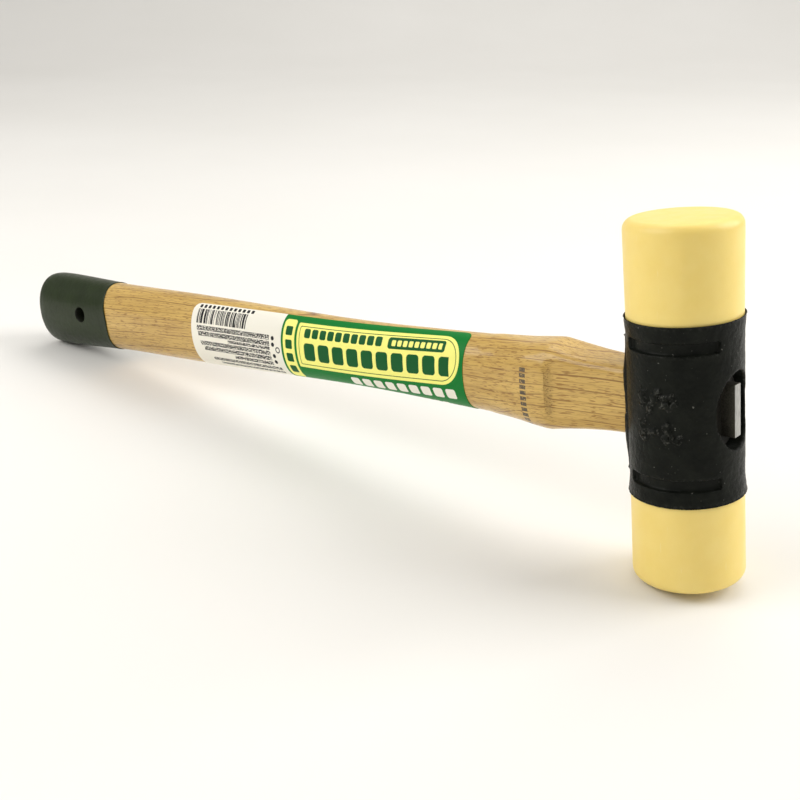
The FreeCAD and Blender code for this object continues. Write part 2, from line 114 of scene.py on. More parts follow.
# ---------------------------------------------------------------- colours, linear
WOOD_PALE = (0.67, 0.44, 0.120, 1)
WOOD_TAWNY = (0.54, 0.332, 0.076, 1)
# Near-black wood for the tenon: painted shade for the inside of the eye.
TENON_SHADE_PALE = (0.014, 0.013, 0.010, 1)
TENON_SHADE_DARK = (0.008, 0.008, 0.006, 1)
TENON_SHADE_STREAK = (0.004, 0.004, 0.003, 1)
WOOD_STREAK = (0.20, 0.086, 0.012, 1)
WOOD_PORE = (0.27, 0.125, 0.018, 1)
PLASTIC_PALE = (0.93, 0.72, 0.225, 1)
PLASTIC_DEEP = (0.91, 0.69, 0.195, 1)
PLASTIC_SCUFF = (0.95, 0.83, 0.48, 1)
IRON_BLACK = (0.004, 0.005, 0.0035, 1)
IRON_WORN = (0.009, 0.0105, 0.0075, 1)
# Light grey for the casting's flecks and edges: bare metal, and painted highlight too.
IRON_FLECK_AND_HIGHLIGHT = (0.17, 0.17, 0.15, 1)
OLIVE_DEEP = (0.009, 0.018, 0.0015, 1)
OLIVE_PALE = (0.014, 0.025, 0.004, 1)
# The hanging hole's lining: the olive dip paint, darkened as painted shade inside the hole.
HOLE_SHADE_DEEP = (0.006, 0.007, 0.004, 1)
HOLE_SHADE_PALE = (0.012, 0.014, 0.008, 1)
STEEL_PALE = (0.50, 0.50, 0.48, 1)
STEEL_DARK = (0.26, 0.26, 0.25, 1)
SCALE_DARK = (0.045, 0.042, 0.032, 1)
SCALE_PALE = (0.10, 0.095, 0.075, 1)
RUBBER_DARK = (0.012, 0.012, 0.013, 1)
RUBBER_PALE = (0.028, 0.028, 0.030, 1)
PAPER_WHITE = (0.90, 0.87, 0.77, 1)
PRINT_GREEN = (0.003, 0.19, 0.028, 1)
PRINT_DEEP_GREEN = (0.004, 0.10, 0.022, 1)
PRINT_YELLOW = (0.98, 0.95, 0.25, 1)
PRINT_BLACK = (0.020, 0.020, 0.022, 1)
SWEEP_PALE = (0.82, 0.808, 0.785, 1)
SWEEP_DEEP = (0.79, 0.778, 0.752, 1)


# ---------------------------------------------------------------- reading the frame
def mallet_frame():
    """The mallet's frame as a matrix, from the joint that turns the upper face."""
    turn = next(joint for joint in frame["joints"] if joint["name"] == "upper_face_turn")
    up = Vector(turn["axis"])
    across = Vector((0.0, 1.0, 0.0))
    place = Matrix((across.cross(up), across, up)).transposed().to_4x4()
    place.translation = turn["pos_m"]
    return place


MALLET = mallet_frame()


def node_points(name):
    """The corners of a CAD node, in millimetres in the mallet's frame."""
    mesh = frame["nodes"][name].data
    flat = np.empty(len(mesh.vertices) * 3)
    mesh.vertices.foreach_get("co", flat)
    to_mallet = np.array(MALLET.inverted())
    return (flat.reshape(-1, 3) @ to_mallet[:3, :3].T + to_mallet[:3, 3]) / MM


def half_sizes(name, places):
    """Half width and half height of a CAD node where planes across the handle cut it."""
    points = node_points(name)
    mesh = frame["nodes"][name].data
    pairs = np.empty(len(mesh.edges) * 2, dtype=int)
    mesh.edges.foreach_get("vertices", pairs)
    start, end = points[pairs.reshape(-1, 2).T]
    sizes = []
    for place in places:
        crossing = (start[:, 0] - place) * (end[:, 0] - place) < 0
        a, b = start[crossing], end[crossing]
        share = ((place - a[:, 0]) / (b[:, 0] - a[:, 0]))[:, None]
        cut = a + share * (b - a)
        sizes.append(np.ptp(cut[:, 1:], axis=0) / 2)
    return np.array(sizes).T


def smoothstep(value):
    """0 below 0, 1 above 1, and an even S between."""
    held = np.clip(value, 0, 1)
    return held * held * (3 - 2 * held)


def soft_min(a, b, softness):
    """The lower of two values, with the corner between them rounded."""
    share = np.clip(0.5 + 0.5 * (b - a) / softness, 0, 1)
    return b + (a - b) * share - softness * share * (1 - share)


# ---------------------------------------------------------------- the handle's surface
HANDLE = node_points("handle")
CASTING = node_points("head_casting")
COAT = node_points("butt_coat")
LABEL = node_points("handle_label")
WEDGE = node_points("steel_wedge")

BUTT_END = HANDLE[:, 0].min()
TENON_END = HANDLE[:, 0].max()
BOSS_FACE = CASTING[:, 0].min()
NECK_END = BOSS_FACE - 0.08
COAT_EDGE = COAT[:, 0].max()
COAT_THICKNESS = BUTT_END - COAT[:, 0].min()
LABEL_REAR = LABEL[:, 0].min()
LABEL_FRONT = LABEL[:, 0].max()
HOLE = next(m for m in frame["record"]["mounts"] if m["name"] == "hanging_hole")
HOLE_RADIUS = HOLE["dims"]["r_mm"]
HOLE_CENTRE = MALLET.inverted() @ Vector(HOLE["pos_m"]) / MM

STEP = 1.0
PLACES = np.arange(BUTT_END + BUTT_ROUND, NECK_END, STEP)
HALF_WIDTHS, HALF_HEIGHTS = half_sizes("handle", PLACES)
ON_GRIP = PLACES < FLAT_START - 10
OVAL_RATIO = np.median(HALF_WIDTHS[ON_GRIP] / HALF_HEIGHTS[ON_GRIP])
FLAT_WIDTH = HALF_WIDTHS[np.searchsorted(PLACES, FLAT_START + 1)]


def blurred(values, width):
    """Values along the handle, smoothed over that many steps."""
    reach = 8
    weights = np.exp(-0.5 * (np.arange(-reach, reach + 1) / width) ** 2)
    padded = np.pad(values, reach, mode="reflect", reflect_type="odd")
    return np.convolve(padded, weights / weights.sum(), mode="valid")


NECK_SHAPE = np.interp(PLACES, NECK_PLACES, NECK_HALF_HEIGHTS)
BEHIND_NECK = PLACES < NECK_PLACES[0]
HALF_HEIGHTS = blurred(np.where(BEHIND_NECK, blurred(HALF_HEIGHTS, 2.5), NECK_SHAPE), 1.2)
ABOVE_FLOOR = (MALLET.translation.z / MM + MALLET[2][0] * PLACES) / MALLET[2][2]
HALF_HEIGHTS = np.minimum(HALF_HEIGHTS, ABOVE_FLOOR - COAT_THICKNESS)


def handle_surface(place, angle, growth=0.0):
    """Points on the handle, grown outwards. The angle goes from the top by the near side to the bottom."""
    place, angle, growth = np.broadcast_arrays(place, angle, growth)
    swelling = smoothstep((place - SWELLING_START) / SWELLING_RUN)
    squared = smoothstep((place - SQUARING_START) / SQUARING_RUN)
    half_height = np.interp(place, PLACES, HALF_HEIGHTS)
    half_width = half_height * (OVAL_RATIO + NECK_WIDENING * swelling) + growth
    half_height = half_height + growth
    squareness = GRIP_SQUARENESS + SWELLING_SQUARENESS * swelling + NECK_SQUARENESS * squared
    across = np.abs(np.sin(angle) / half_width) ** squareness
    along = np.abs(np.cos(angle) / half_height) ** squareness
    reach = (across + along) ** (-1 / squareness)
    y = -reach * np.sin(angle)
    z = reach * np.cos(angle)
    runout = smoothstep((FLAT_START - place) / FLAT_RUNOUT)
    flat = np.interp(place, PLACES, HALF_WIDTHS) + growth
    opening = FLAT_WIDTH + growth + (half_width - FLAT_WIDTH + 1) * runout
    flat = np.where(place > FLAT_START, flat, opening)
    held = soft_min(np.abs(y), flat, FLAT_SOFTNESS)
    y = np.where(place > FLAT_START - FLAT_RUNOUT, np.sign(y) * held, y)
    return np.stack([place, y, z], axis=-1)


# ---------------------------------------------------------------- making meshes
def new_object(name, data):
    """An object in the scene for a mesh, a light or a camera."""
    made = bpy.data.objects.new(name, data)
    bpy.context.scene.collection.objects.link(made)
    return made


def round_angles(count):
    """Angles evenly round a full turn."""
    return np.arange(count) * FULL_TURN / count


def new_piece(name, points, faces, smooth_angle=40.0):
    """A mesh object from points in millimetres in the mallet's frame."""
    mesh = bpy.data.meshes.new(name)
    mesh.from_pydata((np.asarray(points) * MM).tolist(), [], [list(face) for face in faces])
    mesh.validate()
    piece = new_object(name, mesh)
    piece.matrix_world = MALLET
    tidy_normals(piece, smooth_angle)
    return piece


def tidy_normals(piece, smooth_angle):
    """Faces outwards, smooth, with the edges over the angle left crisp."""
    work = bmesh.new()
    work.from_mesh(piece.data)
    bmesh.ops.recalc_face_normals(work, faces=work.faces)
    work.to_mesh(piece.data)
    work.free()
    piece.data.shade_smooth()
    piece.data.set_sharp_from_angle(angle=math.radians(smooth_angle))


def ring_faces(ring_count, ring_size, closed=False, capped=True):
    """The faces of a skin over rings: closed joins the last ring to the first, capped fills the ends."""
    faces = []
    for ring in range(ring_count if closed else ring_count - 1):
        here = ring * ring_size
        there = (ring + 1) % ring_count * ring_size
        for spot in range(ring_size):
            after = (spot + 1) % ring_size
            faces.append((here + spot, here + after, there + after, there + spot))
    if capped and not closed:
        faces.append(range(ring_size))
        faces.append(range((ring_count - 1) * ring_size, ring_count * ring_size))
    return faces


def cut_away(piece, cutter):
    """Takes the cutter's shape out of the piece, and removes the cutter."""
    boolean = piece.modifiers.new("cut", "BOOLEAN")
    boolean.operation = "DIFFERENCE"
    boolean.solver = "EXACT"
    boolean.material_mode = "TRANSFER"
    boolean.object = cutter
    apply_modifiers(piece)
    bpy.data.objects.remove(cutter)


def apply_modifiers(piece):
    """Bakes a piece's modifiers into its mesh."""
    bpy.context.view_layer.update()
    depsgraph = bpy.context.evaluated_depsgraph_get()
    shaped = bpy.data.meshes.new_from_object(piece.evaluated_get(depsgraph))
    piece.modifiers.clear()
    piece.data = shaped


def finish_piece(piece, body, slot, *nodes):
    """The piece rides on a body and stands for its CAD nodes, which are hidden. The slot is not used."""
    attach(piece, body)
    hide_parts(*nodes)


# ---------------------------------------------------------------- materials
class Finish:
    """A procedural material, built node by node round a Principled shader."""

    def __init__(self, name, **surface):
        self.material = bpy.data.materials.new(name)
        self.material.use_nodes = True
        self.nodes = self.material.node_tree.nodes
        self.links = self.material.node_tree.links
        self.shader = self.nodes["Principled BSDF"]
        self.place = self.nodes.new("ShaderNodeTexCoord").outputs["Object"]
        for socket, value in surface.items():
            self.shader.inputs[socket.replace("_", " ")].default_value = value

    def add(self, kind, inputs, **settings):
        """A node with its settings, each input given as a number, a colour or another node's output."""
        node = self.nodes.new(kind)
        for setting, value in settings.items():
            setattr(node, setting, value)
        for socket, value in inputs.items():
            if isinstance(value, bpy.types.NodeSocket):
                self.links.new(value, node.inputs[socket])
            else:
                node.inputs[socket].default_value = value
        return node

    def drive(self, socket, source):
        """Connects an output to one of the shader's inputs."""
        self.links.new(source, self.shader.inputs[socket])

    def grain(self, size, stretch=(1, 1, 1), detail=3.0, roughness=0.5, place=None):
        """Noise whose features are about size metres, longer along an axis with a stretch over 1."""
        scale = [1 / (size * longer) for longer in stretch]
        mapping = self.add("ShaderNodeMapping", {"Vector": place or self.place, "Scale": scale})
        inputs = {"Vector": mapping.outputs[0], "Scale": 1.0, "Detail": detail, "Roughness": roughness}
        return self.add("ShaderNodeTexNoise", inputs).outputs["Fac"]

    def between(self, source, low, high, to_low=0.0, to_high=1.0):
        """The source's range from low to high, spread over another range and held there."""
        inputs = {0: source, 1: low, 2: high, 3: to_low, 4: to_high}
        return self.add("ShaderNodeMapRange", inputs, clamp=True).outputs[0]

    def calc(self, operation, a, b=0.0):
        """One arithmetic step."""
        return self.add("ShaderNodeMath", {0: a, 1: b}, operation=operation).outputs[0]

    def roughen(self, source, low, high):
        """Roughness from low to high over the middle of the source's range."""
        self.drive("Roughness", self.between(source, 0.3, 0.7, low, high))

    def blend(self, share, base, other):
        """From the base colour, at 0, to the other, at 1."""
        inputs = {0: share, 6: base, 7: other}
        return self.add("ShaderNodeMix", inputs, data_type="RGBA").outputs[2]

    def bump(self, height, distance, strength=1.0, below=None):
        """Relief in metres, on top of another bump where there is one."""
        inputs = {"Height": height, "Distance": distance, "Strength": strength}
        if below is not None:
            inputs["Normal"] = below
        return self.add("ShaderNodeBump", inputs).outputs["Normal"]

    def step(self, operation, a, b):
        """One vector step."""
        return self.add("ShaderNodeVectorMath", {0: a, 1: b}, operation=operation).outputs[0]

    def block(self, where, left, right, top, bottom, corner):
        """1 inside a rectangle with rounded corners on the plane of the first two numbers, 0 outside."""
        centre = ((left + right) / 2, (top + bottom) / 2, 0)
        half = ((right - left) / 2 - corner, (bottom - top) / 2 - corner, 0)
        away = self.step("ABSOLUTE", self.step("SUBTRACT", where, centre), (0, 0, 0))
        beyond = self.step("MAXIMUM", self.step("SUBTRACT", away, half), (0, 0, 0))
        length = self.add("ShaderNodeVectorMath", {0: beyond}, operation="LENGTH").outputs["Value"]
        return self.calc("LESS_THAN", length, corner)

    def row(self, where, left, right, top, bottom, pitch, gap, corner, down=False):
        """A row of plain blocks in place of words, one every pitch, or a column of them."""
        cell = (1000.0, pitch, 1000.0) if down else (pitch, 1000.0, 1000.0)
        moved = self.step("SUBTRACT", where, (left, top, 0))
        inside = self.step("MODULO", moved, cell)
        across = right - left if down else pitch - gap
        along = pitch - gap if down else bottom - top
        blocks = self.block(inside, 0, across, 0, along, corner)
        return self.both(blocks, self.block(where, left, right, top, bottom, min(corner, 0.2)))

    def both(self, a, b):
        """Where two areas meet."""
        return self.calc("MULTIPLY", a, b)

    def any(self, *areas):
        """Where any of the areas is."""
        joined = areas[0]
        for area in areas[1:]:
            joined = self.calc("MAXIMUM", joined, area)
        return joined

    def less(self, area, hole):
        """An area without another."""
        return self.both(area, self.calc("SUBTRACT", 1.0, hole))


def wood_finish(name, pale, tawny, streaked, pored):
    """Open-grained hardwood under a satin varnish, its grain along the handle."""
    wood = Finish(name, Coat_Weight=0.6, Coat_Roughness=0.13, Specular_IOR_Level=0.3)
    turn = (0.0, math.radians(1.6), math.radians(-1.2))
    drift = wood.add("ShaderNodeMapping", {"Vector": wood.place, "Rotation": turn}).outputs[0]
    broad = wood.grain(0.005, (14, 1, 1), 2.0, place=drift)
    tone = wood.blend(wood.between(broad, 0.35, 0.68), pale, tawny)
    fine = wood.grain(0.00042, (40, 1, 1), 3.0, 0.6, place=drift)
    tone = wood.blend(wood.between(fine, 0.45, 0.75, 0.0, 0.35), tone, streaked)
    parts = wood.add("ShaderNodeSeparateXYZ", {0: drift}).outputs
    sway = wood.calc("MULTIPLY", wood.grain(0.012, (9, 1, 1), 1.0, place=drift), 2.8)
    upwards = wood.calc("MULTIPLY", parts[2], 330.0)
    sideways = wood.calc("MULTIPLY", parts[1], 110.0)
    layers = wood.calc("ADD", wood.calc("ADD", upwards, sideways), sway)
    streak = 0.0
    for spacing, width, strength in ((1.0, 0.07, 1.0), (2.6, 0.10, 0.45)):
        across = wood.calc("FRACT", wood.calc("MULTIPLY", layers, spacing))
        off_line = wood.calc("ABSOLUTE", wood.calc("SUBTRACT", across, 0.5))
        line = wood.between(off_line, 0.01, width, strength, 0.0)
        broken = wood.between(wood.grain(0.0011 / spacing, (14, 1, 1), 2.0, place=drift), 0.39, 0.50)
        streak = wood.calc("MAXIMUM", streak, wood.calc("MULTIPLY", line, broken))
    tone = wood.blend(wood.calc("MULTIPLY", streak, 0.9), tone, streaked)
    pore = wood.between(wood.grain(0.00036, (9, 1, 1), 1.0, place=drift), 0.58, 0.67)
    tone = wood.blend(wood.calc("MULTIPLY", pore, 0.75), tone, pored)
    wood.roughen(fine, 0.38, 0.52)
    relief = wood.bump(wood.calc("MULTIPLY", wood.calc("MAXIMUM", pore, streak), -1.0), 0.00004)
    relief = wood.bump(fine, 0.00003, 0.6, relief)
    wood.drive("Normal", relief)
    return wood, tone


def handle_finish():
    """The handle's wood, with a worn row of plain ink bars stamped behind the shoulder."""
    wood, tone = wood_finish("handle_wood", WOOD_PALE, WOOD_TAWNY, WOOD_STREAK, WOOD_PORE)
    parts = wood.add("ShaderNodeSeparateXYZ", {0: wood.place}).outputs
    inputs = {0: wood.calc("DIVIDE", parts[0], MM), 1: wood.calc("DIVIDE", parts[2], -MM)}
    flank = wood.add("ShaderNodeCombineXYZ", inputs).outputs[0]
    near_side = wood.calc("LESS_THAN", parts[1], 0.0)
    stamp = wood.row(flank, -47.0, -44.8, -6.4, 11.2, 1.7, 0.55, 0.15, down=True)
    worn = wood.between(wood.grain(0.0005, detail=2.0), 0.30, 0.42)
    stamp = wood.both(wood.both(stamp, near_side), wood.calc("MULTIPLY", worn, 0.85))
    wood.drive("Base Color", wood.blend(stamp, tone, PRINT_BLACK))
    return wood.material


def tenon_shade_finish():
    """The tenon's wood, darkened to near black: painted shade for where it sits deep in the eye."""
    wood, tone = wood_finish("tenon_wood_shaded", TENON_SHADE_PALE, TENON_SHADE_DARK, TENON_SHADE_STREAK, TENON_SHADE_STREAK)
    wood.drive("Base Color", tone)
    return wood.material


def plastic_finish():
    """Pale yellow nylon: satin, faintly cloudy, with a few handling scuffs."""
    plastic = Finish(
        "face_plastic",
        Subsurface_Weight=0.12,
        Subsurface_Radius=(1.0, 0.75, 0.3),
        Subsurface_Scale=0.002,
        Specular_IOR_Level=0.45,
    )
    cloud = plastic.grain(0.009, detail=3.0)
    tone = plastic.blend(plastic.between(cloud, 0.35, 0.65), PLASTIC_PALE, PLASTIC_DEEP)
    scuff = plastic.grain(0.0009, (1, 1, 9), 2.0)
    scuff = plastic.between(scuff, 0.71, 0.77)
    tone = plastic.blend(plastic.calc("MULTIPLY", scuff, 0.25), tone, PLASTIC_SCUFF)
    plastic.drive("Base Color", tone)
    haze = plastic.grain(0.004, detail=4.0)
    plastic.roughen(haze, 0.34, 0.46)
    relief = plastic.bump(plastic.grain(0.0006, detail=3.0), 0.00002)
    relief = plastic.bump(cloud, 0.00012, 0.4, relief)
    plastic.drive("Normal", relief)
    return plastic.material


def iron_finish():
    """Black stoved paint on a sand casting, with light flecks and painted highlights where paint is also rubbed on
    its high spots.
    """
    iron = Finish("casting_paint", Specular_IOR_Level=0.1)
    cloud = iron.grain(0.005, detail=4.0, roughness=0.6)
    tone = iron.blend(iron.between(cloud, 0.4, 0.7), IRON_BLACK, IRON_WORN)
    sand = iron.grain(0.0007, detail=4.0, roughness=0.65)
    # Light flecks: specks of bare metal that also stand in as painted glints.
    fleck = iron.between(iron.grain(0.00085, detail=1.0), 0.745, 0.78)
    tone = iron.blend(iron.calc("MULTIPLY", fleck, 0.7), tone, IRON_FLECK_AND_HIGHLIGHT)
    # The attribute's edges are lightened: painted highlight, with rubbed paint.
    edge = iron.add("ShaderNodeAttribute", {}, attribute_name="wear_and_highlight").outputs["Fac"]
    rubbed_and_highlit = iron.between(iron.grain(0.0009, detail=3.0, roughness=0.6), 0.50, 0.64)
    tone = iron.blend(iron.calc("MULTIPLY", edge, rubbed_and_highlit), tone, IRON_FLECK_AND_HIGHLIGHT)
    iron.drive("Base Color", tone)
    iron.roughen(sand, 0.29, 0.49)
    relief = iron.bump(sand, 0.00010)
    relief = iron.bump(iron.grain(0.0025, detail=3.0), 0.00025, 0.8, relief)
    iron.drive("Normal", relief)
    return iron.material


def olive_finish(name, deep, pale):
    """Thick olive dip paint: glossy, with a faint orange peel."""
    olive = Finish(name, Coat_Weight=0.08, Coat_Roughness=0.2, Specular_IOR_Level=0.2)
    cloud = olive.grain(0.008, detail=3.0)
    tone = olive.blend(olive.between(cloud, 0.35, 0.65), deep, pale)
    olive.drive("Base Color", tone)
    peel = olive.grain(0.0014, detail=2.0)
    olive.roughen(peel, 0.30, 0.42)
    relief = olive.bump(peel, 0.00004)
    relief = olive.bump(cloud, 0.00025, 0.6, relief)
    olive.drive("Normal", relief)
    return olive.material


def steel_finish(name, pale, dark, roughness, brushed):
    """Bare or scaled steel, its marks longer along z where it is brushed."""
    steel = Finish(name, Metallic=0.85)
    marks = steel.grain(0.0004, (1, 1, brushed), 4.0, 0.6)
    cloud = steel.grain(0.003, detail=3.0)
    tone = steel.blend(steel.between(marks, 0.3, 0.7), dark, pale)
    tone = steel.blend(steel.between(cloud, 0.5, 0.8, 0.0, 0.5), tone, dark)
    steel.drive("Base Color", tone)
    steel.roughen(marks, roughness - 0.06, roughness + 0.08)
    steel.drive("Normal", steel.bump(marks, 0.00003))
    return steel.material


def rubber_finish():
    """Dull black rubber with a fine moulded texture."""
    rubber = Finish("washer_rubber", Specular_IOR_Level=0.35)
    pores = rubber.grain(0.0004, detail=4.0)
    rubber.drive("Base Color", rubber.blend(rubber.between(pores, 0.35, 0.7), RUBBER_DARK, RUBBER_PALE))
    rubber.roughen(pores, 0.62, 0.8)
    rubber.drive("Normal", rubber.bump(pores, 0.00004))
    return rubber.material


class Print(Finish):
    """A printed sheet, whose UV map is millimetres along the sheet and down it."""

    def __init__(self, name, **surface):
        super().__init__(name, **surface)
        self.sheet = self.add("ShaderNodeUVMap", {}, uv_map="sheet_mm").outputs[0]

    def marks(self, width, height, share):
        """Irregular marks of about that size in millimetres, covering more as the share falls."""
        fine = self.grain(1.0, (width, height, 1), 1.0, place=self.sheet)
        return self.calc("GREATER_THAN", fine, share)

    def panel(self, inset):
        """The rounded main panel, made smaller by the inset."""
        left = 55.7 + inset
        right = 126.6 - inset
        top = 2.7 + inset
        bottom = 18.1 - inset
        square = self.block(self.sheet, left, right - 14, top, bottom, 0.6)
        bow = self.block(self.sheet, left + 8, right, top, bottom, (bottom - top) / 2 - 0.05)
        return self.any(square, bow)


def label_panels(label):
    """The label's ground: white, then green with yellow panels and plain blocks in place of words."""
    sheet = label.sheet
    green = label.block(sheet, 48.0, 140.0, -5.0, 80.0, 0.1)
    tone = label.blend(green, PAPER_WHITE, PRINT_GREEN)
    strip = label.block(sheet, 49.0, 54.6, 1.9, 24.2, 1.2)
    tone = label.blend(label.any(strip, label.panel(0.0)), tone, PRINT_YELLOW)
    line = label.less(label.panel(1.1), label.panel(1.35))
    words = label.any(
        label.row(sheet, 50.2, 53.4, 4.4, 22.4, 4.6, 1.5, 0.5, down=True),
        label.row(sheet, 59.2, 94.5, 4.6, 7.7, 3.6, 0.8, 0.7),
        label.row(sheet, 59.2, 122.6, 9.4, 15.3, 6.6, 1.5, 1.2),
        label.block(sheet, 97.0, 120.4, 4.5, 8.2, 1.0),
        line,
    )
    tone = label.blend(words, tone, PRINT_DEEP_GREEN)
    small = label.row(sheet, 98.6, 119.2, 5.4, 7.3, 2.4, 0.7, 0.4)
    tone = label.blend(small, tone, PRINT_YELLOW)
    under = label.any(
        label.row(sheet, 78.5, 125.0, 19.4, 23.0, 5.2, 1.3, 0.8),
        label.row(sheet, 62.0, 118.0, 26.0, 29.0, 3.8, 0.9, 0.6),
    )
    return label.blend(under, tone, PAPER_WHITE)


def label_small_print(label):
    """What is black on the white end: random bars, lines of marks, a row of ticks, dots and a ring."""
    sheet = label.sheet
    bars = label.both(label.block(sheet, 2.8, 29.6, 2.3, 7.6, 0.05), label.marks(0.62, 60.0, 0.48))
    # Each line of marks: left, right, top, bottom.
    rows = (
        (3.2, 42.0, 8.4, 10.1),
        (3.8, 42.0, 10.5, 12.2),
        (20.0, 42.0, 12.5, 13.6),
        (4.6, 42.0, 14.0, 15.6),
        (6.0, 42.0, 16.0, 17.6),
        (22.0, 42.0, 18.1, 19.5),
        (9.0, 45.0, 20.2, 21.6),
        (12.0, 45.0, 22.3, 23.6),
        (6.0, 42.0, 30.0, 31.4),
        (6.0, 38.0, 32.4, 33.8),
    )
    lines = label.any(*[label.block(sheet, *row, 0.1) for row in rows])
    lines = label.both(lines, label.marks(0.5, 0.5, 0.455))
    dots = [label.block(sheet, 43.0, 44.5, top, top + 1.5, 0.75) for top in (8.6, 10.8, 14.9, 17.2)]
    disc = label.block(sheet, 44.9, 47.1, 12.2, 14.4, 1.1)
    ring = label.less(disc, label.block(sheet, 45.3, 46.7, 12.6, 14.0, 0.7))
    ticks = label.row(sheet, 3.0, 32.5, 0.55, 1.9, 2.3, 0.9, 0.3)
    return label.any(bars, lines, ticks, ring, *dots)


def label_finish():
    """A printed paper label, slightly cockled. Its layout is in millimetres of the sheet."""
    label = Print("label_paper", Coat_Weight=0.02, Coat_Roughness=0.25, Specular_IOR_Level=0.15)
    tone = label_panels(label)
    label.drive("Base Color", label.blend(label_small_print(label), tone, PRINT_BLACK))
    fibre = label.grain(0.0005, (4, 1, 1), 3.0)
    label.roughen(fibre, 0.38, 0.5)
    cockle = label.grain(0.009, (2, 1, 1), 2.0)
    relief = label.bump(fibre, 0.00001)
    relief = label.bump(cockle, 0.00010, 0.5, relief)
    label.drive("Normal", relief)
    return label.material


def stage_finish():
    """Matt white paper sweep."""
    paper = Finish("sweep_paper", Roughness=0.9, Specular_IOR_Level=0.1)
    cloud = paper.grain(0.25, detail=3.0)
    tone = paper.blend(paper.between(cloud, 0.3, 0.7), SWEEP_PALE, SWEEP_DEEP)
    paper.drive("Base Color", tone)
    return paper.material


# ---------------------------------------------------------------- handle and what covers it
def loft(name, stations):
    """A closed skin over stations, each (place, growth), along the handle's surface."""
    angles = round_angles(AROUND)
    rings = [handle_surface(place, angles, growth) for place, growth in stations]
    return new_piece(name, np.concatenate(rings), ring_faces(len(rings), AROUND))


def butt_stations(growth, steps=12):
    """Places and growths round the butt's end, from its flat to its side."""
    turns = np.linspace(math.pi / 2, 0, steps)
    radius = BUTT_ROUND + growth
    places = BUTT_END + BUTT_ROUND - radius * np.sin(turns)
    insets = radius * (1 - np.cos(turns))
    return list(zip(places, growth - insets))


def handle_rings():
    """Rings round the handle from the butt to the neck, then on into the eye and along the tenon."""
    angles = round_angles(AROUND)
    stations = butt_stations(0.0)
    stations += [(place, 0.0) for place in PLACES[1:] if place < NECK_END - 0.5]
    stations += [(NECK_END, 0.0)]
    rings = [handle_surface(place, angles, growth) for place, growth in stations]
    entry_end = NECK_END + NECK_ENTRY
    for place in (NECK_END + 0.4, entry_end):
        entry = rings[-1].copy()
        entry[:, 0] = place
        entry[:, 1] = np.clip(entry[:, 1], -TENON_HALF_WIDTH - 0.05, TENON_HALF_WIDTH + 0.05)
        rings.append(entry)
    tenon_stations = [(place, 0) for place in (entry_end, TENON_SHADE_START, 0, TENON_END - TENON_CHAMFER)]
    for place, inset in tenon_stations + [(TENON_END, TENON_CHAMFER)]:
        y = -(TENON_HALF_WIDTH - inset) * np.sin(angles)
        z = (TENON_HALF_HEIGHT - inset) * np.cos(angles)
        rings.append(np.stack([np.full(AROUND, place), y, z], axis=-1))
    return rings


def make_handle(wood, tenon, shaded_lining):
    """The wooden handle: grip, shoulder, flats on the neck, tenon with its kerf, hanging hole."""
    rings = handle_rings()
    handle = new_piece("handle_wood", np.concatenate(rings), ring_faces(len(rings), AROUND))
    handle.data.materials.append(wood)
    handle.data.materials.append(tenon)
    for face in handle.data.polygons:
        # From here into the eye the tenon takes the near-black wood: painted shade.
        face.material_index = int(face.center.x > TENON_SHADE_START * MM)
    cut_away(handle, hole_cutter(HOLE_RADIUS, shaded_lining))
    kerf = wedge_bar("kerf", KERF_PLAY)
    kerf.data.materials.append(tenon)
    cut_away(handle, kerf)
    tidy_normals(handle, 40.0)
    finish_piece(handle, "hammer_body", "handle_wood", "handle")


def hole_cutter(radius, shaded_lining):
    """A bar through the butt, as wide as the hanging hole, with slightly flared mouths."""
    angles = round_angles(HOLE_STEPS)
    mouth = np.interp(HOLE_CENTRE.x, PLACES, HALF_HEIGHTS) * OVAL_RATIO
    # From the middle of the handle outwards: distance, and how much wider than the hole.
    half = ((mouth - 0.5, 0), (mouth + 0.5, MOUTH_FLARE), (30, 20))
    rings = []
    for y, spread in [(-y, spread) for y, spread in reversed(half)] + list(half):
        x = HOLE_CENTRE.x + (radius + spread) * np.cos(angles)
        z = HOLE_CENTRE.z + (radius + spread) * np.sin(angles)
        rings.append(np.stack([x, np.full(HOLE_STEPS, y), z], axis=-1))
    cutter = new_piece("hole_cutter", np.concatenate(rings), ring_faces(len(rings), HOLE_STEPS))
    # The hole's walls take the lining: dip paint darkened as painted shade.
    cutter.data.materials.append(shaded_lining)
    return cutter


def coat_stations():
    """Places and growths round the coat's section: along its inside, round its lip, and back outside."""
    edge = COAT_EDGE
    side = [place for place in PLACES[1:] if place < edge - 3.2]
    inner = butt_stations(COAT_GAP) + [(place, COAT_GAP) for place in side + [edge - 2.5, edge - 0.3]]
    lip = [(edge - 0.12, 0.10), (edge, 0.20), (edge - 0.04, 0.30), (edge - 0.2, COAT_THICKNESS + COAT_BEAD)]
    outer = [(edge - 0.8, COAT_THICKNESS + COAT_BEAD), (edge - 1.6, COAT_THICKNESS + COAT_BEAD / 2)]
    outer += [(place, COAT_THICKNESS) for place in [edge - 2.5] + side[::-1]]
    return inner + lip + outer + butt_stations(COAT_THICKNESS)[::-1]


def make_coat(olive, shaded_lining):
    """The dipped coat on the butt: a thin shell with a beaded, slightly wavy front edge."""
    coat = loft("butt_coat_shell", coat_stations())
    for vertex in coat.data.vertices:
        place = vertex.co.x / MM
        angle = math.atan2(vertex.co.y, vertex.co.z)
        wave = noise.noise(Vector((math.cos(angle) * 1.4, math.sin(angle) * 1.4, 7.0)))
        held_back = 0.5 * (0.35 - wave) + 2.4 * math.cos(angle) ** 2
        vertex.co.x -= held_back * MM * float(smoothstep((place - COAT_EDGE + 12) / 12))
    coat.data.materials.append(olive)
    cut_away(coat, hole_cutter(HOLE_RADIUS - COAT_HOLE_LESS, shaded_lining))
    tidy_normals(coat, 40.0)
    finish_piece(coat, "hammer_body", "butt_paint", "butt_coat")


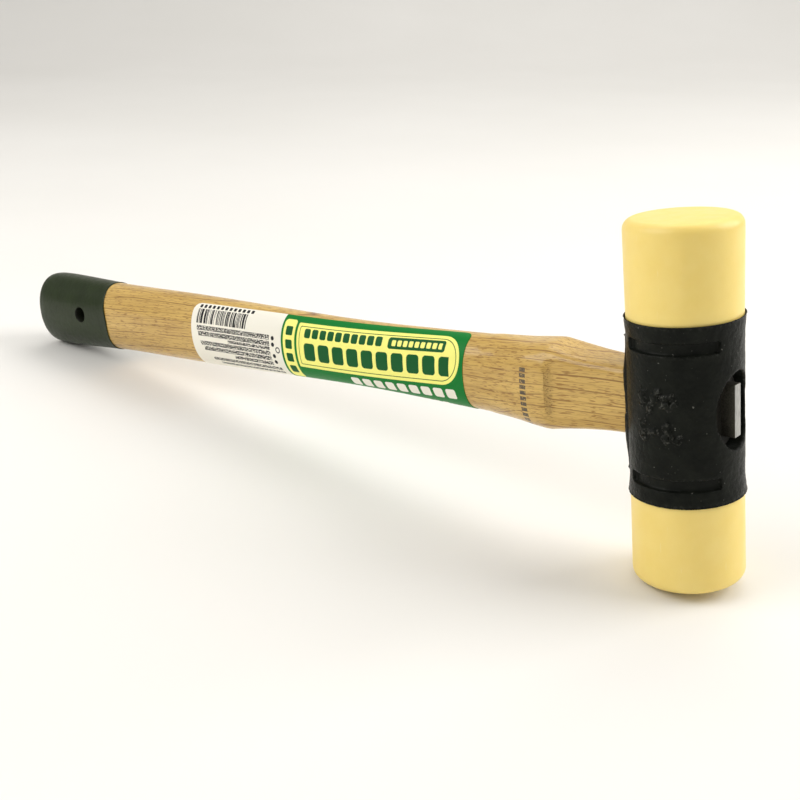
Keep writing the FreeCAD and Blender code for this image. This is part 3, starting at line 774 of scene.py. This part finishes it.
def label_table(places, fractions):
    """For each place, the angle and the millimetres down the sheet of each fraction of its width."""
    angles_down = []
    for place in places:
        top = np.interp(place, [LABEL_REAR, LABEL_FRONT], [LABEL_TOP_REAR, LABEL_TOP_FRONT])
        upper = np.linspace(0, math.pi / 2, 90)
        first = np.interp(top, -handle_surface(place, upper)[:, 1], upper)
        lower = np.linspace(math.pi, 1.5 * math.pi, 90)
        last = np.interp(LABEL_FAR_HEIGHT, handle_surface(place, lower)[:, 2], lower)
        angles = np.linspace(first, last, 240)
        walk = handle_surface(place, angles)
        down = np.concatenate([[0], np.cumsum(np.linalg.norm(np.diff(walk, axis=0), axis=1))])
        wanted = fractions * down[-1]
        angles_down.append((np.interp(wanted, down, angles), wanted))
    return np.array(angles_down)


def make_label(paper):
    """The paper label: a thin shell that follows the handle, with rounded corners."""
    columns, rows = 170, 110
    fractions = np.linspace(0, 1, rows)
    stations = np.linspace(LABEL_REAR, LABEL_FRONT, 60)
    table = label_table(stations, fractions)
    depth = table[:, 1, -1].mean()
    from_edge = np.minimum(fractions, 1 - fractions) * depth
    bite = np.clip(LABEL_CORNER - from_edge, 0, LABEL_CORNER)
    inset = LABEL_CORNER - np.sqrt(LABEL_CORNER**2 - bite**2)
    shares = np.linspace(0, 1, columns)[:, None]
    places = LABEL_REAR + inset + shares * (LABEL_FRONT - LABEL_REAR - 2 * inset)
    angles = np.empty_like(places)
    down = np.empty_like(places)
    for spot in range(rows):
        angles[:, spot] = np.interp(places[:, spot], stations, table[:, 0, spot])
        down[:, spot] = np.interp(places[:, spot], stations, table[:, 1, spot])
    lifts = (LABEL_GLUE + LABEL_PAPER, LABEL_GLUE)
    layers = [handle_surface(places, angles, lift).reshape(-1, 3) for lift in lifts]
    print_places = np.stack([places - LABEL_REAR, down], axis=-1).reshape(-1, 2)
    count = columns * rows
    faces = []
    for column in range(columns - 1):
        for spot in range(rows - 1):
            first = column * rows + spot
            quad = (first, first + 1, first + rows + 1, first + rows)
            faces.append(quad)
            faces.append([corner + count for corner in reversed(quad)])
    rim = [column * rows for column in range(columns)]
    rim += [(columns - 1) * rows + spot for spot in range(1, rows)]
    rim += [column * rows + rows - 1 for column in range(columns - 2, -1, -1)]
    rim += [spot for spot in range(rows - 2, 0, -1)]
    for here, there in zip(rim, rim[1:] + rim[:1]):
        faces.append((here, there, there + count, here + count))
    label = new_piece("label_sheet", np.concatenate(layers), faces)
    layer = label.data.uv_layers.new(name="sheet_mm")
    corners = np.empty(len(label.data.loops), dtype=int)
    label.data.loops.foreach_get("vertex_index", corners)
    layer.data.foreach_set("uv", print_places[corners % count].ravel())
    label.data.materials.append(paper)
    finish_piece(label, "hammer_body", "label_paper", "handle_label")


def wedge_bar(name, growth):
    """The wedge as a tapered bar, grown all round."""
    tip, end = WEDGE[:, 0].min(), WEDGE[:, 0].max()
    corners = []
    for place in (tip - growth, end + growth * 20):
        section = WEDGE[np.abs(WEDGE[:, 0] - np.clip(place, tip, end)) < 0.2]
        low = section.min(axis=0) - growth
        high = section.max(axis=0) + growth
        corners += [(place, low[1], low[2]), (place, high[1], low[2])]
        corners += [(place, high[1], high[2]), (place, low[1], high[2])]
    return new_piece(name, corners, ring_faces(2, 4))


def make_wedge(steel, scale):
    """The steel wedge: dark rolled sides, a bright sheared end, softened edges."""
    wedge = wedge_bar("wedge_bar", 0.0)
    bevel = wedge.modifiers.new("edges", "BEVEL")
    bevel.width = 0.22 * MM
    bevel.segments = 3
    apply_modifiers(wedge)
    wedge.data.materials.append(scale)
    wedge.data.materials.append(steel)
    for face in wedge.data.polygons:
        face.material_index = int(face.normal.x > 0.9)
    tidy_normals(wedge, 50.0)
    finish_piece(wedge, "hammer_body", "wedge_steel", "steel_wedge")


# ---------------------------------------------------------------- head
def thread_radius(height, angle, crest):
    """Radius on a right-handed screw thread with rounded crests and roots."""
    turn = height / THREAD_PITCH - angle / FULL_TURN
    wave = 2 * np.abs(turn - np.floor(turn) - 0.5)
    return crest - THREAD_DEPTH * smoothstep(1.25 * wave - 0.125)


def lathe(outline, size=144):
    """Turned points, with the size and number of their rings. The outline is (height, radius) in order,
    where a radius may also be a function of the angle."""
    angles = round_angles(size)
    rings = []
    for height, radius in outline:
        reach = radius(angles) if callable(radius) else np.full(size, radius)
        x = reach * np.cos(angles)
        y = reach * np.sin(angles)
        rings.append(np.stack([x, y, np.full(size, height)], axis=-1))
    return np.concatenate(rings), size, len(rings)


def turned_over(points):
    """The same points for the lower end of the head: half a turn about the handle's axis."""
    return points * np.array([1, -1, -1])


def arc(centre_height, centre_radius, radius, start, end, steps):
    """Part of an outline round a corner. Angles are in degrees from straight outwards, towards up."""
    turns = np.radians(np.linspace(start, end, steps))
    return [(centre_height + radius * math.sin(t), centre_radius + radius * math.cos(t)) for t in turns]


def make_face(name, flip, plastic, node, body):
    """A screw-on plastic face: filleted strike face, tapered side, threaded bore."""
    points = node_points(node) * (-1 if flip else 1)
    heights = points[:, 2]
    radii = np.hypot(points[:, 0], points[:, 1])
    foot, top = heights.min(), heights.max()
    foot_radius = radii[heights < foot + 0.1].max()
    bore_radius = radii[heights < foot + 0.1].min()
    bore_end = heights[(radii > bore_radius - 0.1) & (radii < bore_radius + 0.1)].max()
    side_radius = radii.max()
    outline = [
        (top, 0.02),
        (top - FACE_CROWN * 0.1, side_radius * 0.35),
        (top - FACE_CROWN * 0.4, side_radius * 0.6),
    ]
    fillet = arc(top - FACE_CROWN - FACE_FILLET, side_radius - FACE_FILLET, FACE_FILLET, 86, 0, 14)
    outline += fillet
    low = foot + FOOT_FILLET
    for share in np.linspace(0, 1, 14)[1:-1]:
        height = fillet[-1][0] + share * (low - fillet[-1][0])
        outline.append((height, side_radius + share * (foot_radius - side_radius)))
    outline += arc(low, foot_radius - FOOT_FILLET, FOOT_FILLET, 0, -90, 5)
    outline.append((foot, bore_radius + 0.6))
    crest = bore_radius + THREAD_PLAY - THREAD_CLEARANCE
    thread_top = bore_end - 1.2
    for height in np.arange(foot + 0.5, thread_top, THREAD_PITCH / THREAD_STEPS):
        outline.append((height, lambda angles, h=height: thread_radius(h, angles, crest)))
    outline += [(thread_top + 0.2, bore_radius), (bore_end, bore_radius - 0.3), (bore_end, 0.02)]
    points, size, count = lathe(outline)
    if flip:
        points = turned_over(points)
    face = new_piece(name, points, ring_faces(count, size))
    face.data.materials.append(plastic)
    finish_piece(face, body, "face_plastic", node)


def thread_sleeve(cup_floor, nose_end, nose_radius):
    """The screw thread round one nose, as points and faces of a closed ring."""
    inner = nose_radius - 1.6
    crest = nose_radius - THREAD_CLEARANCE
    outline = [(cup_floor + 0.05, inner), (cup_floor + 0.05, crest - THREAD_DEPTH)]
    for height in np.arange(cup_floor + 0.2, nose_end - 0.5, THREAD_PITCH / THREAD_STEPS):
        outline.append((height, lambda angles, h=height: thread_radius(h, angles, crest)))
    outline += [(nose_end - 0.25, crest - THREAD_DEPTH), (nose_end + 0.02, crest - THREAD_DEPTH - 0.3)]
    outline.append((nose_end + 0.02, inner))
    points, size, count = lathe(outline)
    return points, ring_faces(count, size, closed=True)


def raised_marks(x, z):
    """Height of the plain cast marks on the flank: a slanted bar and two rows of short bars."""
    x = x + 0.45 * np.sin(2.3 * z + 0.7) + 0.3 * np.sin(3.1 * x + 1.9 * z)
    z = z + 0.35 * np.sin(2.1 * x + 0.4 * z) + 0.25 * np.sin(4.3 * x)
    slant = 1 - smoothstep((np.abs(x + 1.0 - (z - 4.5) * 0.45) - 0.55) / 0.5)
    slant *= 1 - smoothstep((np.abs(z - 4.5) - 3.0) / 0.6)
    total = slant
    # Each bar: its centre, then its half sizes.
    bars = (
        (-4.0, 5.0, 0.5, 2.2),
        (3.2, 3.6, 1.5, 0.5),
        (3.2, 5.9, 1.5, 0.5),
        (-4.2, -3.6, 0.6, 2.4),
        (-1.2, -3.6, 1.3, 0.6),
        (2.6, -3.6, 0.6, 2.4),
        (5.0, -5.2, 1.0, 0.5),
    )
    for bar_x, bar_z, half_x, half_z in bars:
        across = 1 - smoothstep((np.abs(x - bar_x) - half_x) / 0.45)
        along = 1 - smoothstep((np.abs(z - bar_z) - half_z) / 0.45)
        total = np.maximum(total, across * along)
    return total


def fuller_form(x, y, z, rim_end):
    """How much farther out the skin lies: a fuller waist, flatter rims, and boss corners that fade out."""
    radius = np.hypot(x, y)
    height = np.abs(z)
    over_rims = smoothstep((height - rim_end + 7.5) / 2)
    on_boss = (x < BOSS_FACE + 0.6) & (height < BOSS_HALF_HEIGHT)
    waist = radius + np.maximum(WAIST_RADIUS - radius, 0) * smoothstep((radius - 14.3) / 0.3) * ~on_boss
    rims = np.where(waist > WAIST_RADIUS, waist - 0.4 * (waist - WAIST_RADIUS) * over_rims, waist)
    corner = (x < -9) & (height < rim_end - 4) & (radius > 15.2)
    fade = smoothstep((height - 7) / 11)
    shaped = np.where(corner, rims - fade * (rims - 15.2), rims)
    return shaped / np.maximum(radius, 0.1)


def wear_and_highlight_amount(x, y, z, marks, rim_end):
    """Where the paint is lightened: painted highlight with rubbed paint, on the edges of the raised marks, the
    rims and the slots' lips.
    """
    height = np.abs(z)
    mark_edge = smoothstep(marks / 0.3) * (1 - 0.6 * smoothstep((marks - 0.7) / 0.3))
    rim = np.exp(-(((height - rim_end + 0.5) / 0.5) ** 2)) * 0.1
    depth = 15.0 - np.hypot(x, y)
    near_skin = smoothstep((0.5 - np.abs(depth)) / 0.2)
    lip = np.exp(-(((height - SLOT_LIP) / 0.35) ** 2)) * near_skin * (x > -12) * (x < 13)
    return np.maximum(np.maximum(mark_edge * 0.55, rim), lip * 0.12)


def softened_casting():
    """The CAD casting with soft cast edges, and the exact CAD surface to hold it to."""
    mesh = frame["nodes"]["head_casting"].data.copy()
    mesh.materials.clear()
    mesh.transform(MALLET.inverted())
    casting = new_object("casting_body", mesh)
    casting.matrix_world = MALLET
    exact = BVHTree.FromPolygons(
        [vertex.co.copy() for vertex in mesh.vertices],
        [list(face.vertices) for face in mesh.polygons],
    )
    remesh = casting.modifiers.new("voxels", "REMESH")
    remesh.mode = "VOXEL"
    remesh.voxel_size = CAST_VOXEL * MM
    soften = casting.modifiers.new("soften", "SMOOTH")
    soften.factor = 0.5
    soften.iterations = 4
    apply_modifiers(casting)
    return casting, exact


def vertex_values(mesh, value):
    """A three-number value of each of a mesh's vertices."""
    flat = np.empty(len(mesh.vertices) * 3)
    mesh.vertices.foreach_get(value, flat)
    return flat.reshape(-1, 3)


def uneven_skin(points, normals, skin, exact):
    """Moves the outer skin by the mould's unevenness, and puts the rest back on the exact surface."""
    for index, weight in enumerate(skin):
        place = Vector(points[index])
        if weight < 0.02:
            points[index] = exact.find_nearest(place)[0]
        else:
            sand = noise.fractal(place / (SAND_SIZE * MM), 0.6, 2.0, 3)
            lumps = noise.noise(place / (LUMP_SIZE * MM))
            points[index] += normals[index] * weight * MM * (SAND_DEPTH * sand + LUMP_DEPTH * lumps)


def make_casting(iron):
    """The cast head body: soft cast edges, sand texture, raised marks, threaded noses."""
    casting, exact = softened_casting()
    from_axis = np.hypot(CASTING[:, 0], CASTING[:, 1])
    rim_end = CASTING[from_axis > 15.3][:, 2].max()
    nose_end = CASTING[:, 2].max()
    nose_radius = from_axis[CASTING[:, 2] > nose_end - 0.1].max()
    at_nose = np.abs(from_axis - nose_radius) < 0.05
    cup_floor = CASTING[at_nose & (CASTING[:, 2] > 15)][:, 2].min()

    points = vertex_values(casting.data, "co")
    normals = vertex_values(casting.data, "normal")
    x, y, z = points.T / MM
    radius = np.hypot(x, y)
    outward = (normals[:, 0] * x + normals[:, 1] * y) / np.maximum(radius, 0.1)
    skin = smoothstep((outward - 0.35) / 0.4) * (radius > 13.2) * (np.abs(z) < rim_end - 0.2)
    uneven_skin(points, normals, skin, exact)
    points[:, :2] *= (fuller_form(x, y, z, rim_end) ** skin)[:, None]
    marks = raised_marks(x, z) * (y < 0) * skin
    # Painted highlight, with rubbed paint, on mark edges, rims and slot lips.
    wear_and_highlight = wear_and_highlight_amount(x, y, z, marks, rim_end) * skin
    points += normals * (MARK_HEIGHT * MM * marks)[:, None]
    x, y, z = points.T / MM
    radius = np.hypot(x, y)
    on_nose = (np.abs(z) > cup_floor + 0.03) & (np.abs(radius - nose_radius) < 0.4)
    shrink = np.where(on_nose, (nose_radius - THREAD_DEPTH - 0.12) / radius, 1.0)
    points[:, :2] *= shrink[:, None]

    parts = [points / MM]
    faces = [list(face.vertices) for face in casting.data.polygons]
    for flip in (False, True):
        sleeve, sleeve_faces = thread_sleeve(cup_floor, nose_end, nose_radius)
        start = sum(len(part) for part in parts)
        parts.append(turned_over(sleeve) if flip else sleeve)
        faces += [[corner + start for corner in face] for face in sleeve_faces]
    body = new_piece("head_casting_body", np.concatenate(parts), faces, 60.0)
    lightened = np.zeros(len(body.data.vertices))
    lightened[: len(wear_and_highlight)] = wear_and_highlight
    body.data.attributes.new("wear_and_highlight", "FLOAT", "POINT").data.foreach_set("value", lightened)
    bpy.data.objects.remove(casting)
    body.data.materials.append(iron)
    finish_piece(body, "hammer_body", "casting_paint", "head_casting")


def dress_nodes(names, material):
    """Gives CAD nodes a material. Their shape and shading stay as the CAD made them."""
    for name in names:
        node = frame["nodes"][name]
        for spot in node.material_slots:
            spot.material = material


# ---------------------------------------------------------------- stage, light, camera
def camera_axes():
    """The camera's right, up and forward in the mallet's frame."""
    ahead = Vector(
        (
            -math.sin(CAMERA_YAW) * math.cos(CAMERA_PITCH),
            math.cos(CAMERA_YAW) * math.cos(CAMERA_PITCH),
            math.sin(CAMERA_PITCH),
        )
    )
    level = Vector((math.cos(CAMERA_YAW), math.sin(CAMERA_YAW), 0.0))
    upright = level.cross(ahead)
    right = level * math.cos(CAMERA_ROLL) + upright * math.sin(CAMERA_ROLL)
    up = upright * math.cos(CAMERA_ROLL) - level * math.sin(CAMERA_ROLL)
    return right, up, ahead


def make_camera():
    """The camera, at the viewing angle of the reference."""
    right, up, ahead = camera_axes()
    lens = bpy.data.cameras.new("camera")
    lens.lens = CAMERA_LENS
    lens.sensor_width = SENSOR_WIDTH
    lens.clip_start = 0.01
    lens.clip_end = 20
    camera = new_object("camera", lens)
    local = Matrix((right, up, -ahead)).transposed().to_4x4()
    local.translation = Vector(CAMERA_PLACE) * MM
    camera.matrix_world = MALLET @ local
    bpy.context.scene.camera = camera
    return camera


def make_stage(camera):
    """A paper sweep: flat under the mallet, curving up far behind it."""
    away = camera.matrix_world.to_3x3() @ Vector((0, 0, -1))
    away.z = 0
    away.normalize()
    aside = Vector((-away.y, away.x, 0))
    bend_start, bend_radius, wide, near, top = 1.1, 0.8, 2.2, -1.6, 2.4
    bend_steps = 24
    profile = [(near, 0.0), (bend_start, 0.0)]
    for step in range(1, bend_steps + 1):
        turn = step / bend_steps * math.pi / 2
        profile.append((bend_start + bend_radius * math.sin(turn), bend_radius * (1 - math.cos(turn))))
    profile.append((bend_start + bend_radius, top))
    points = []
    for side in (-wide, wide):
        for distance, height in profile:
            points.append(tuple(away * distance + aside * side + Vector((0, 0, height))))
    count = len(profile)
    faces = [(i, i + 1, i + 1 + count, i + count) for i in range(count - 1)]
    mesh = bpy.data.meshes.new("sweep")
    mesh.from_pydata(points, [], faces)
    mesh.shade_smooth()
    sweep = new_object("sweep", mesh)
    mesh.materials.append(stage_finish())
    return away, aside


def add_light(name, place, size, power, target):
    """A soft, slightly warm square light aimed at a point."""
    lamp = bpy.data.lights.new(name, "AREA")
    lamp.shape = "SQUARE"
    lamp.size = size
    lamp.energy = power
    lamp.color = (1.0, 0.985, 0.95)
    light = new_object(name, lamp)
    light.location = place
    light.rotation_euler = (target - place).to_track_quat("-Z", "Y").to_euler()


def light_scene(away, left):
    """Soft light from both sides, above and beyond, and an even pale surround."""
    head = MALLET.translation.copy()
    up = Vector((0, 0, 1))
    # Each light: metres left, away and up from the head, size, power, how far beyond the head it aims.
    lights = (
        ("left_light", 0.8, -0.1, 0.6, 0.7, 5.2, 0),
        ("right_light", -0.8, 0.1, 0.6, 0.7, 8.4, 0),
        ("top_light", 0, 0.2, 1.1, 1.0, 1.8, 0),
        ("far_light", -0.4, 1.5, 1.9, 1.6, 17.4, 1.7),
    )
    for name, leftwards, beyond, above, size, power, aim in lights:
        place = head + left * leftwards + away * beyond + up * above
        add_light(name, place, size, power, head + away * aim)
    world = bpy.data.worlds.new("surround")
    world.use_nodes = True
    background = world.node_tree.nodes["Background"]
    background.inputs["Color"].default_value = (1.0, 0.985, 0.96, 1)
    background.inputs["Strength"].default_value = 0.40
    bpy.context.scene.world = world
    bpy.context.scene.view_settings.view_transform = "Standard"


# ---------------------------------------------------------------- the whole model
olive = olive_finish("butt_paint", OLIVE_DEEP, OLIVE_PALE)
# The hole's lining: the same dip paint, made darker as painted shade inside the hanging hole.
shaded_lining = olive_finish("hole_paint_and_shade", HOLE_SHADE_DEEP, HOLE_SHADE_PALE)
plastic = plastic_finish()
steel = steel_finish("bare_steel", STEEL_PALE, STEEL_DARK, 0.34, 6)
ball_steel = steel_finish("shot_steel", STEEL_PALE, STEEL_DARK, 0.28, 1)
scale = steel_finish("wedge_scale", SCALE_PALE, SCALE_DARK, 0.5, 1)

make_handle(handle_finish(), tenon_shade_finish(), shaded_lining)
make_coat(olive, shaded_lining)
make_label(label_finish())
make_wedge(steel, scale)
make_casting(iron_finish())
make_face("upper_face_cap", False, plastic, "upper_face", "upper_face_body")
make_face("lower_face_cap", True, plastic, "lower_face", "lower_face_body")
dress_nodes(["upper_lock_washer", "lower_lock_washer"], rubber_finish())
dress_nodes(["upper_chamber_plug", "lower_chamber_plug"], steel)
dress_nodes(["upper_shot", "lower_shot"], ball_steel)

camera = make_camera()
light_scene(*make_stage(camera))
